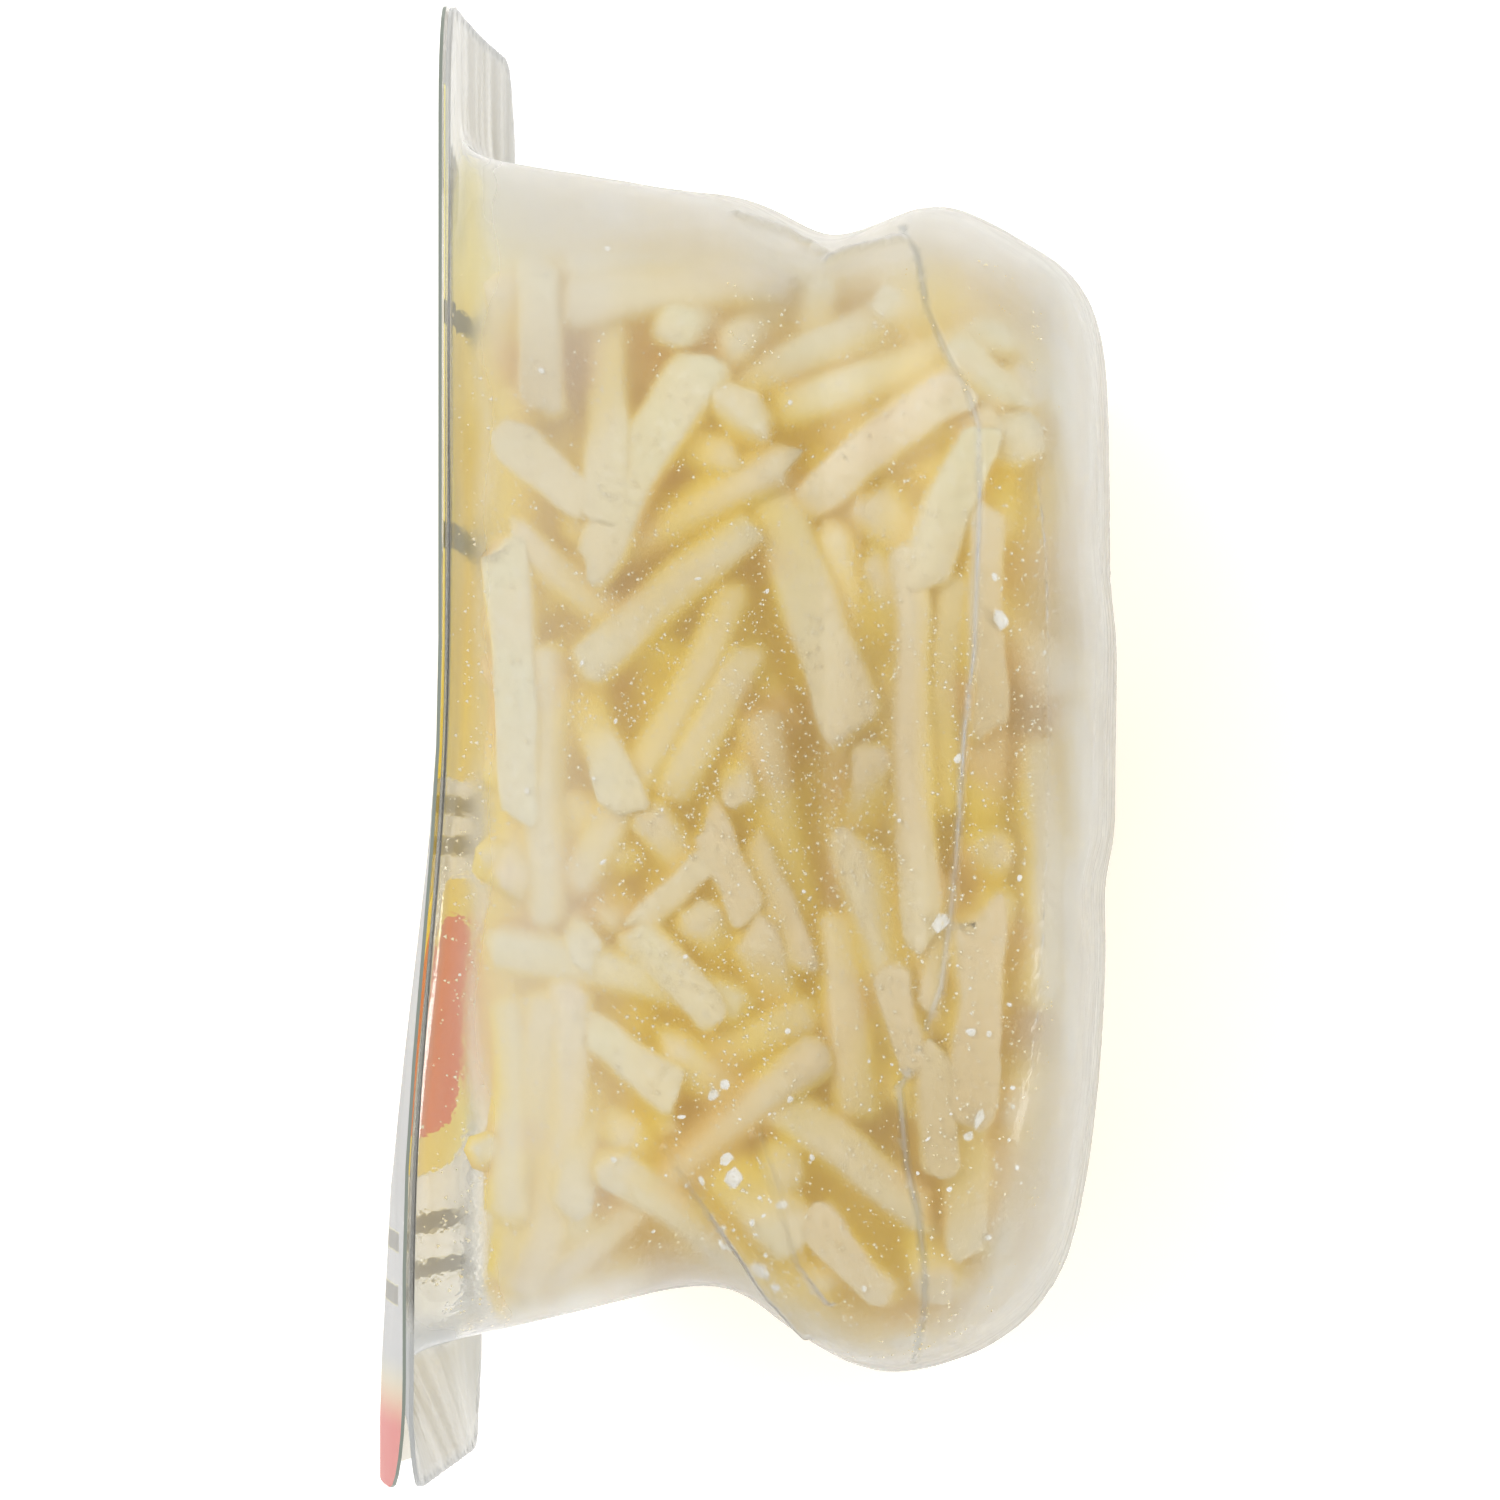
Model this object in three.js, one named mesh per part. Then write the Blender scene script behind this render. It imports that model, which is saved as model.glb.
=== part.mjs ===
// A sealed clear pack of grana padano sticks, lying on one long side.
// A deep pouch of clear film, with a waist and a rounded belly, is filled with short sticks of cheese.
// A flat printed lid film is sealed to the rim round its mouth. The filled pouch is one solid.
// Millimetres. X runs from the lid to the base, Y along the pack to its top end, and Z up.
import * as THREE from "three";

// Driving dimensions.
const LID_LENGTH = 130;
const LID_WIDTH = 90;
const LID_CORNER = 10;
const LID_THICKNESS = 0.3;
const RIM_THICKNESS = 0.4;
const SEAL_GAP = 0.3;
const BASE_DEPTH = 57.4;

// The lid isn't flat: it leans out towards the lower end and the far edge, and it bows out across its width.
// Past the lower end of the mouth the rim straightens again, and leaves the lid's end free to be peeled.
const LEAN = { by: 3.1, from: 8, to: -46, atFar: 0.8 };
const BOW = { top: 0.5, lower: 4.7, from: 24, to: -58 };
const PEEL_TAB = { from: -55, to: -64 };
const LEAN_FADES_AT = 24;

// Each wall of the pouch runs from its mouth to the middle of the base, through points of depth and reach:
// the mouth, the draft down to the waist, the waist, the belly, the round corner and the base panel.
const BASE_MIDDLE = [BASE_DEPTH, 0];
const WALLS = {
  top: [
    [0, 52.7], [13, 50.4], [25.5, 48.4], [32, 44.8], [35.5, 45.5],
    [42, 48], [50.3, 44.2], [55.4, 40.8], [57.1, 36], BASE_MIDDLE,
  ],
  near: [
    [0, 39], [13, 38], [26, 36.6], [33, 34.8],
    [42, 38.2], [50.5, 36.4], [55, 31.5], [56.6, 24], BASE_MIDDLE,
  ],
  lower: [
    [0, 54], [11, 50.8], [23.5, 47.4], [31, 52.6],
    [37.5, 54.9], [47.5, 51.8], [53.2, 45.2], [56.2, 31], BASE_MIDDLE,
  ],
  far: [
    [0, 39], [13, 38.2], [25, 38.6], [32.5, 42.6],
    [41, 46.2], [50, 42.5], [55, 34.5], [56.6, 26], BASE_MIDDLE,
  ],
};
// A ring's corner radius, as a share of its smaller half size, at the mouth, the belly and the base's middle.
const CORNER_SHARE = { mouth: 0.3, belly: 0.45, middle: 0.8 };
const BELLY_RING_SHARE = 0.4;
const SIDE_BOW = 1.3;

// The base panel: a raised band across its middle, and a crease below it.
const BAND = { from: 14.2, to: -11.2, height: 0.7, edge: 2.4 };
const CREASE = { at: -12.2, depth: 0.4, width: 2.4 };
const PANEL_STARTS_AT = 52;

// Mesh steps.
const CORNER_STEPS = 6;
const SIDE_STEPS = 6;
const WALL_RINGS = 30;
const FACE_SHARES = [0.3, 0.6, 0.84, 0.92, 1];
const MOUTH_FILLET = 1.2;

const smoothstep = THREE.MathUtils.smoothstep;
const lerp = THREE.MathUtils.lerp;

// How much of a change has happened at y, which falls as the change goes on.
function shareDone(y, { from, to }) {
  return THREE.MathUtils.clamp((from - y) / (from - to), 0, 1);
}

// The depth of the lid film's inner face at a point of its length and width.
function lidDepth(y, z) {
  const towardsFar = 0.5 - z / LID_WIDTH;
  const lean = LEAN.by * smoothstep(shareDone(y, LEAN), 0, 1) + LEAN.atFar * towardsFar;
  const bow = lerp(BOW.top, BOW.lower, shareDone(y, BOW));
  return -lean - bow * (1 - (2 * z / LID_WIDTH) ** 2);
}

// The depth of the rim's front face: the lid's, but for the seal gap and the peel tab.
function rimDepth(y, z) {
  const straightened = BOW.lower * smoothstep(shareDone(y, PEEL_TAB), 0, 1);
  return lidDepth(y, z) + SEAL_GAP + straightened * (1 - (2 * z / LID_WIDTH) ** 2);
}

// One ring of points round a rectangle with round corners, whose four half sizes may differ.
// Each point also says how far it has turned from the middle of an end wall, 0, to that of a side wall, 1.
function ring(half, cornerRadius, bow = 0) {
  const points = [];
  const quarters = [
    ["top", "near", 1, 1],
    ["lower", "near", -1, 1],
    ["lower", "far", -1, -1],
    ["top", "far", 1, -1],
  ];
  const steps = 2 * SIDE_STEPS + CORNER_STEPS;
  quarters.forEach(([end, side, endSign, sideSign], quarter) => {
    const radius = Math.min(cornerRadius, half[end], half[side]);
    const straightEnd = half[side] - radius;
    const straightSide = half[end] - radius;
    for (let i = 0; i < steps; i++) {
      const step = quarter % 2 ? steps - i : i;
      const turn = THREE.MathUtils.clamp((step - SIDE_STEPS) / CORNER_STEPS, 0, 1) * Math.PI / 2;
      const alongEnd = Math.min(step / SIDE_STEPS, 1);
      const alongSide = Math.min((steps - step) / SIDE_STEPS, 1);
      const y = straightSide * alongSide + radius * Math.cos(turn) + bow * (1 - alongEnd ** 2);
      const z = straightEnd * alongEnd + radius * Math.sin(turn) + bow * (1 - alongSide ** 2);
      points.push({ y: endSign * y, z: sideSign * z, end, side, turned: step / steps });
    }
  });
  return points;
}

// Points along one wall, evenly spaced from the mouth to the middle of the base.
function wallPoints(profile) {
  const points = profile.map(([depth, reach]) => new THREE.Vector3(depth, reach, 0));
  return new THREE.CatmullRomCurve3(points).getSpacedPoints(WALL_RINGS);
}

// What the base panel's raised band and crease add to its depth.
function panelRelief(depth, y) {
  const onPanel = smoothstep(depth, PANEL_STARTS_AT, BASE_DEPTH - 1);
  const band = smoothstep(BAND.from - y, 0, BAND.edge) * smoothstep(y - BAND.to, 0, BAND.edge);
  const crease = Math.exp(-(((y - CREASE.at) / CREASE.width) ** 2));
  return onPanel * (BAND.height * (band - 1) - CREASE.depth * crease);
}

// The pouch's rings below its rim, from the mouth to just short of the base's middle.
function pouchRings() {
  const sides = Object.keys(WALLS);
  const walls = Object.fromEntries(sides.map((side) => [side, wallPoints(WALLS[side])]));
  const rings = [];
  for (let i = 0; i < WALL_RINGS; i++) {
    const half = Object.fromEntries(sides.map((side) => [side, walls[side][i].y]));
    const toBelly = smoothstep(i / WALL_RINGS, 0, BELLY_RING_SHARE);
    const toMiddle = smoothstep(i / WALL_RINGS, BELLY_RING_SHARE, 1);
    const outerShare = lerp(CORNER_SHARE.mouth, CORNER_SHARE.belly, toBelly);
    const cornerShare = lerp(outerShare, CORNER_SHARE.middle, toMiddle);
    const radius = cornerShare * Math.min(...Object.values(half));
    const outline = ring(half, radius, SIDE_BOW * toBelly * (1 - toMiddle));
    rings.push(outline.map(({ y, z, end, side, turned }) => {
      const depth = lerp(walls[end][i].x, walls[side][i].x, smoothstep(turned, 0, 1));
      const lean = lidDepth(y, z) * (1 - smoothstep(depth, 0, LEAN_FADES_AT));
      return new THREE.Vector3(depth + lean + panelRelief(depth, y), y, Math.max(z, -LID_WIDTH / 2));
    }));
  }
  return rings;
}

// Rings that spread over the lid's outline from its middle, on a curved face of the depth given.
function faceRings(depthAt) {
  const half = { top: LID_LENGTH / 2, lower: LID_LENGTH / 2, near: LID_WIDTH / 2, far: LID_WIDTH / 2 };
  const outline = ring(half, LID_CORNER);
  return FACE_SHARES.map((share) => outline.map((point) => {
    const y = point.y * share;
    const z = point.z * share;
    return new THREE.Vector3(depthAt(y, z), y, z);
  }));
}

// A closed solid through rings of equal length, with a point at each end.
function solidThrough(startPoint, rings, endPoint) {
  const count = rings[0].length;
  const positions = [startPoint, ...rings.flat(), endPoint].flatMap((point) => point.toArray());
  const last = 1 + rings.length * count;
  const faces = [];
  for (let i = 0; i < count; i++) {
    const next = (i + 1) % count;
    faces.push(0, 1 + next, 1 + i);
    for (let r = 0; r < rings.length - 1; r++) {
      const here = 1 + r * count;
      const after = here + count;
      faces.push(here + i, after + next, after + i, here + i, here + next, after + next);
    }
    faces.push(last - count + i, last - count + next, last);
  }
  const geometry = new THREE.BufferGeometry();
  geometry.setAttribute("position", new THREE.Float32BufferAttribute(positions, 3));
  geometry.setIndex(faces);
  geometry.computeVertexNormals();
  return geometry;
}

// The lid: one thin sheet, with its outline's corners rounded.
function lidFilm() {
  const inner = faceRings(lidDepth);
  const outer = faceRings((y, z) => lidDepth(y, z) - LID_THICKNESS);
  const middle = lidDepth(0, 0);
  const outerPoint = new THREE.Vector3(middle - LID_THICKNESS, 0, 0);
  return solidThrough(outerPoint, [...outer, ...inner.reverse()], new THREE.Vector3(middle, 0, 0));
}

// The filled pouch: its rim as wide as the lid, and below the rim the walls and the base.
function filledPouch() {
  const rimFront = faceRings(rimDepth);
  const rimBack = faceRings((y, z) => rimDepth(y, z) + RIM_THICKNESS).slice(-2).reverse();
  const walls = pouchRings();
  const fillet = walls[0].map((point) => {
    const widened = 1 + MOUTH_FILLET / Math.hypot(point.y, point.z);
    const y = point.y * widened;
    const z = point.z * widened;
    return new THREE.Vector3(rimDepth(y, z) + RIM_THICKNESS, y, z);
  });
  walls[0].forEach((point) => { point.x += SEAL_GAP + RIM_THICKNESS + MOUTH_FILLET; });
  const frontPoint = new THREE.Vector3(rimDepth(0, 0), 0, 0);
  const basePoint = new THREE.Vector3(BASE_DEPTH + panelRelief(BASE_DEPTH, 0), 0, 0);
  return solidThrough(frontPoint, [...rimFront, ...rimBack, fillet, ...walls], basePoint);
}

const pieces = [
  ["filled_pouch", filledPouch(), { color: 0xe3d5a4, roughness: 0.35, metalness: 0 }],
  ["lid_film", lidFilm(), { color: 0xdedcd6, roughness: 0.3, metalness: 0 }],
];

const pack = new THREE.Group();
for (const [name, geometry, finish] of pieces) {
  const mesh = new THREE.Mesh(geometry, new THREE.MeshStandardMaterial(finish));
  mesh.name = name;
  pack.add(mesh);
}

// The origin is under the pack's middle, on the surface that it lies on.
const extent = new THREE.Box3().setFromObject(pack);
const middle = extent.getCenter(new THREE.Vector3());
pack.position.set(-middle.x, -middle.y, -extent.min.z);

export default pack;
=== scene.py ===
"""A sealed clear pack of short cut cheese sticks, lying on its long side with the camera above it.

The loose sticks lie in a deep formed pouch of clear film, which a flat printed lid film closes.
The order is: frame, camera, pouch film, sticks, core, crumbs, droplets, lid, stand and light.
"""
import math
import random
import bmesh
import bpy
import numpy as np
from mathutils import Matrix, Vector, noise
from mathutils.bvhtree import BVHTree


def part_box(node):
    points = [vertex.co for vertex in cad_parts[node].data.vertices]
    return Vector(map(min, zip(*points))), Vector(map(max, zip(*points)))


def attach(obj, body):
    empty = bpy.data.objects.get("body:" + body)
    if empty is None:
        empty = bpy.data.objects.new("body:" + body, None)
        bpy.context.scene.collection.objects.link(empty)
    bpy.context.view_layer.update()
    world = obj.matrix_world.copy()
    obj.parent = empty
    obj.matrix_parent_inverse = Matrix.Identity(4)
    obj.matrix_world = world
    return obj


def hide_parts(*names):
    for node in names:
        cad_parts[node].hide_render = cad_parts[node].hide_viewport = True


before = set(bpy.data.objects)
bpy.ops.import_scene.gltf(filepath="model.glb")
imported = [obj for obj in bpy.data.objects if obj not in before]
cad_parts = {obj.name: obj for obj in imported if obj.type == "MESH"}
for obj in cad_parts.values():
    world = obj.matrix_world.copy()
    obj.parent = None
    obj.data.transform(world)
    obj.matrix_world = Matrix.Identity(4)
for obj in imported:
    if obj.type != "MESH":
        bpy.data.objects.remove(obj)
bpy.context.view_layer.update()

# --------------------------------------------------------------------------------------------------
# Camera: a long lens straight above the pack, turned 3 degrees towards the pack's base, so that a
# narrow slice of the lid shows behind the pouch. Places on the film are given as photo pixels.
# --------------------------------------------------------------------------------------------------
MM = 0.001
PHOTO_SIDE = 1500
AIM = Vector((0, 0, 45)) * MM
YAW = math.radians(3.0)
DROP = math.radians(0.52)
CAMERA_DISTANCE = 1107.6 * MM
LENS_PIXELS = 12235.6
SENSOR_MM = 36

to_camera = Vector((math.sin(YAW) * math.cos(DROP), -math.sin(DROP), math.cos(YAW) * math.cos(DROP)))
camera_up = (Vector((0, 1, 0)) - to_camera * to_camera.y).normalized()
camera_right = camera_up.cross(to_camera)
camera_place = AIM + to_camera * CAMERA_DISTANCE

lens = bpy.data.cameras.new("camera_above")
lens.sensor_width = SENSOR_MM
lens.lens = LENS_PIXELS / PHOTO_SIDE * SENSOR_MM
lens.clip_start = 0.1
lens.clip_end = 20
camera = bpy.data.objects.new("camera_above", lens)
bpy.context.scene.collection.objects.link(camera)
camera.matrix_world = Matrix.Translation(camera_place) @ Matrix(
    (camera_right, camera_up, to_camera)).transposed().to_4x4()
bpy.context.scene.camera = camera


def sight_line(px, py):
    """The direction from the camera through a pixel of the photo."""
    across = (px - PHOTO_SIDE / 2) / LENS_PIXELS
    down = (py - PHOTO_SIDE / 2) / LENS_PIXELS
    return (camera_right * across - camera_up * down - to_camera).normalized()


# --------------------------------------------------------------------------------------------------
# Pouch film: a tray of clear film, drawn deep into a mould while hot, with a flat rim. It is a
# quarter of a millimetre thick and slightly frosted, with the step where the film first cooled on
# the mould, the dotted edge of the base, and creases at the waist and near the top.
# --------------------------------------------------------------------------------------------------
FILM_THICKNESS = 0.25 * MM
UNDER_LID = -0.85
SHARP_EDGE = math.radians(50)
CHILL_LINE = [(901, 223), (917, 251), (926, 302), (947, 352), (966, 382), (979, 424), (980, 500),
              (975, 650), (965, 730), (956, 864), (950, 920), (941, 987), (914, 1060), (898, 1089),
              (905, 1165), (918, 1219), (925, 1274), (925, 1319), (914, 1364)]
BASE_EDGE = [(1036, 470), (1046, 560), (1049, 700), (1047, 850), (1041, 980), (1030, 1100)]
TOP_FOLDS = [[(736, 214), (785, 232), (822, 254)], [(830, 258), (865, 246), (900, 238)]]
LINE_STEPS = 4
WAIST_CREASES = [[(667, 1147), (705, 1203), (748, 1263), (770, 1297), (806, 1335)],
                 [(757, 1136), (779, 1196), (801, 1263), (830, 1300)]]


class Wire:
    """A socket of a material. Its arithmetic adds Math nodes, and add() adds any other node."""

    def __init__(self, tree, socket=None):
        self.tree = tree
        self.socket = socket

    def add(self, kind, out=0, settings=(), **sockets):
        node = self.tree.nodes.new("ShaderNode" + kind)
        for name, value in dict(settings).items():
            setattr(node, name, value)
        for name, value in sockets.items():
            words = name.replace("_", " ")
            target = node.inputs[int(words[1:])] if words[1:].isdigit() else node.inputs[words]
            if isinstance(value, Wire):
                self.tree.links.new(value.socket, target)
            else:
                target.default_value = (*value, 1) if target.type == "RGBA" else value
        return Wire(self.tree, node.outputs[out])

    def math(self, operation, first, second=0.0):
        return self.add("Math", settings={"operation": operation}, i0=first, i1=second)

    def __add__(self, other):
        return self.math("ADD", self, other)

    def __sub__(self, other):
        return self.math("SUBTRACT", self, other)

    def __rsub__(self, other):
        return self.math("SUBTRACT", other, self)

    def __mul__(self, other):
        return self.math("MULTIPLY", self, other)

    def __truediv__(self, other):
        return self.math("DIVIDE", self, other)

    __radd__ = __add__
    __rmul__ = __mul__

    def step(self, low, high):
        """0 below low, 1 above high, and smooth between them."""
        return self.add("MapRange", settings={"interpolation_type": "SMOOTHSTEP"}, Value=self,
                        From_Min=low, From_Max=high)

    def blend(self, first, second):
        """A colour that is first where this wire is 0, and second where it is 1."""
        return self.add("Mix", out=2, settings={"data_type": "RGBA"}, i0=self, i6=first, i7=second)

    def shaders(self, first, second):
        return self.add("MixShader", i0=self, i1=first, i2=second)


def new_material(name):
    """An empty material, with a wire to start from and a call that takes its finished surface."""
    material = bpy.data.materials.new(name)
    material.use_nodes = True
    tree = material.node_tree
    tree.nodes.clear()
    output = tree.nodes.new("ShaderNodeOutputMaterial")

    def finish(surface):
        tree.links.new(surface.socket, output.inputs["Surface"])
        return material

    return Wire(tree), finish


# The film's clear tint and milk, and the darker grey tint and milk of painted shade in folds and grooves.
CLEAR_TINT, SHADED_FOLD_TINT = (0.955, 0.952, 0.93), (0.74, 0.75, 0.71)
MILK, SHADED_FOLD_MILK = (0.745, 0.735, 0.70), (0.475, 0.49, 0.495)


def film_material():
    """Clear rough film mixed with a milky share, by the haze and frost marks of its mesh, and darker by
    painted shade in folds.
    """
    start, finish = new_material("drawn_clear_film")
    place = start.add("TexCoord", out=3)
    fold_shade = start.add("Attribute", out=2, settings={"attribute_name": "fold_shade"})
    haze = start.add("Attribute", out=2, settings={"attribute_name": "haze"})
    frost = start.add("Attribute", out=2, settings={"attribute_name": "frost"})
    streaks = start.add("Mapping", Vector=place, Scale=(1.0, 0.22, 1.0))
    cloudy = start.add("TexNoise", Vector=streaks, Scale=130.0, Detail=2.0)
    tint = fold_shade.blend(CLEAR_TINT, SHADED_FOLD_TINT)
    smear = start.add("TexNoise", Vector=place, Scale=700.0, Detail=2.0)
    uneven = start.add("Bump", Strength=0.6, Distance=0.05 * MM, Height=smear)
    clear = start.add("BsdfPrincipled", Base_Color=tint, Roughness=frost, IOR=1.4, Normal=uneven,
                      Specular_IOR_Level=0.1, Transmission_Weight=1.0, Coat_Weight=0.25,
                      Coat_Roughness=0.06)
    milk = start.add("BsdfDiffuse", Color=fold_shade.blend(MILK, SHADED_FOLD_MILK))
    share = haze * (cloudy * 1.6 + 0.2)
    return finish(share.shaders(clear, milk))


SAME_POINT = 0.001 * MM
PAIR_FOLD, PAIR_SKEW = 0.7, 3.1


def merged_copy(name):
    """A CAD node's mesh as a bmesh, with its loose triangles merged and paired into quads."""
    bm = bmesh.new()
    bm.from_mesh(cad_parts[name].data)
    bmesh.ops.remove_doubles(bm, verts=bm.verts, dist=SAME_POINT)
    bmesh.ops.join_triangles(bm, faces=bm.faces, angle_face_threshold=PAIR_FOLD,
                             angle_shape_threshold=PAIR_SKEW)
    return bm


def new_piece(name, bm, material, smooth=True):
    """A finished piece from a bmesh, which rides on the pack's one body."""
    mesh = bpy.data.meshes.new(name)
    bm.to_mesh(mesh)
    bm.free()
    for face in mesh.polygons:
        face.use_smooth = smooth
    mesh.materials.append(material)
    piece = bpy.data.objects.new(name, mesh)
    bpy.context.scene.collection.objects.link(piece)
    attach(piece, "root")
    return piece


def lets_light_in(piece):
    """Lamps and the light that the cheese throws back pass clear film as if it weren't there."""
    piece.visible_shadow = False
    piece.visible_diffuse = False


def subdivided(bm, levels):
    """The bmesh after Subdivision Surface, as a new bmesh."""
    mesh = bpy.data.meshes.new("to_subdivide")
    bm.to_mesh(mesh)
    bm.free()
    piece = bpy.data.objects.new("to_subdivide", mesh)
    bpy.context.scene.collection.objects.link(piece)
    smoother = piece.modifiers.new("finer", "SUBSURF")
    smoother.levels = levels
    smoother.render_levels = levels
    seen = piece.evaluated_get(bpy.context.evaluated_depsgraph_get())
    finer = bmesh.new()
    finer.from_mesh(seen.to_mesh())
    bpy.data.objects.remove(piece)
    bpy.data.meshes.remove(mesh)
    return finer


solid_pouch = merged_copy("filled_pouch")
pouch_tree = BVHTree.FromBMesh(solid_pouch)


def on_film(px, py):
    """Where the photo's pixel meets the pouch film, and the film's outward direction there."""
    place, outward, _, _ = pouch_tree.ray_cast(camera_place, sight_line(px, py))
    return place, outward


def line_distance(points, line):
    """How far each point is from a line through several places, in metres."""
    nearest = np.full(len(points), 1.0)
    for start, end in zip(line[:-1], line[1:]):
        along = end - start
        share = np.clip((points - start) @ along / (along @ along), 0, 1)
        nearest = np.minimum(nearest, np.linalg.norm(points - start - share[:, None] * along, axis=1))
    return nearest


def film_line(pixels):
    """A line through pixels of the photo, followed over the film in short steps."""
    steps = []
    for start, end in zip(pixels[:-1], pixels[1:]):
        steps += [Vector(start).lerp(Vector(end), share / LINE_STEPS) for share in range(LINE_STEPS)]
    return np.array([on_film(*step)[0] for step in steps + [Vector(pixels[-1])]])


film = solid_pouch.copy()
bmesh.ops.delete(film, geom=[f for f in film.faces if f.normal.x < UNDER_LID], context="FACES")
kept_sharp = film.edges.layers.float.new("crease_edge")
for edge in film.edges:
    if edge.is_boundary or edge.calc_face_angle(0) > SHARP_EDGE:
        edge[kept_sharp] = 1.0
film = subdivided(film, 2)
chill_line = film_line(CHILL_LINE)
creases = [film_line(line) for line in WAIST_CREASES + TOP_FOLDS]
base_edge = film_line(BASE_EDGE)

FINE_NEAR = 0.5 * MM
FINE_CUTS = 5
points = np.array([v.co for v in film.verts])
fine_lines = [chill_line, base_edge] + creases
near = np.min([line_distance(points, line) for line in fine_lines], axis=0) < FINE_NEAR
film.verts.ensure_lookup_table()
wanted = [e for e in film.edges if near[e.verts[0].index] or near[e.verts[1].index]]
bmesh.ops.subdivide_edges(film, edges=wanted, cuts=FINE_CUTS, use_grid_fill=True)
film.normal_update()


def ramp(value, low, high):
    """0 below low, 1 above high, and smooth between them."""
    share = min(max((value - low) / (high - low), 0), 1)
    return share * share * (3 - 2 * share)


def bell(distance, width):
    """1 at no distance, falling smoothly to nothing over a few widths."""
    return math.exp(-(distance / width) ** 2)


def waves(place, per_metre, shift=0.0):
    """Smooth noise at a place, stretched by the waves to the metre along each axis."""
    across, along, up = per_metre
    return noise.noise(Vector((place.x * across + shift, place.y * along, place.z * up)))


points = np.array([v.co for v in film.verts])
chill_far = line_distance(points, chill_line)
crease_far = [line_distance(points, line) for line in creases]
base_far = line_distance(points, base_edge)

# Relief. The film is flat at the rim, and waved from a little behind it.
RIM_BACK = -23.2 * MM
RIM_DEEP = 1.5 * MM
RIM_ENDS = (49 * MM, 52 * MM)
WAVED_AFTER = 4 * MM
WAVE_HEIGHT = 0.3 * MM
WAVES_PER_METRE = (90, 45, 90)
RIPPLES_PER_METRE = (300, 110, 300)
WAVE_PART, RIPPLE_PART = 0.75, 0.25
CHILL_DEPTH = 0.16 * MM
CHILL_APART = 0.22 * MM
CHILL_WIDTH = 0.15 * MM
CREASE_HEIGHT = 0.55 * MM
CREASE_WIDTH = 0.6 * MM
BASE_EDGE_WIDTH = 0.25 * MM
DOT_PITCH = 2.2 * MM
DOT_MEAN, DOT_SWING = 0.6, 0.4
BASE_FACING = (0.35, 0.8)
BASE_STREAK = 0.10 * MM
STREAKS_PER_METRE = (900, 60, 900)

# Looks: how rough and how milky the film is from place to place, and how dark its painted shade tint is.
FROSTED, NEAR_CLEAR = 0.5, 0.04
FROST_STARTS = (-24 * MM, -17 * MM)
FROST_UNEVEN = 1.5 * MM
CHILL_MIDDLE = 3 * MM
CHILL_ENDS = (26 * MM, 38 * MM)
TINT = {"chill": 0.35, "chill_ends": 0.55, "crease": 0.12, "dots": 0.35, "rim": 0.75, "base": 0.4}
HAZE = {"all": 0.02, "by_lid": 0.14, "by_lid_low": 0.06, "base": 0.12, "headspace": 0.22,
        "upper_part": 0.07, "rim": 0.5, "chill": 0.3}
BY_LID_FADES = (6 * MM, 15 * MM)
BY_LID_STARTS = (-25 * MM, -17 * MM)
BY_LID_LOW = (0, 20 * MM)
HEADSPACE_FROM = (41 * MM, 48 * MM)
HEADSPACE_RIM = (-23 * MM, -21 * MM)
UPPER_PART = (22 * MM, 41 * MM)
CHILL_PALE = 0.22 * MM

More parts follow.
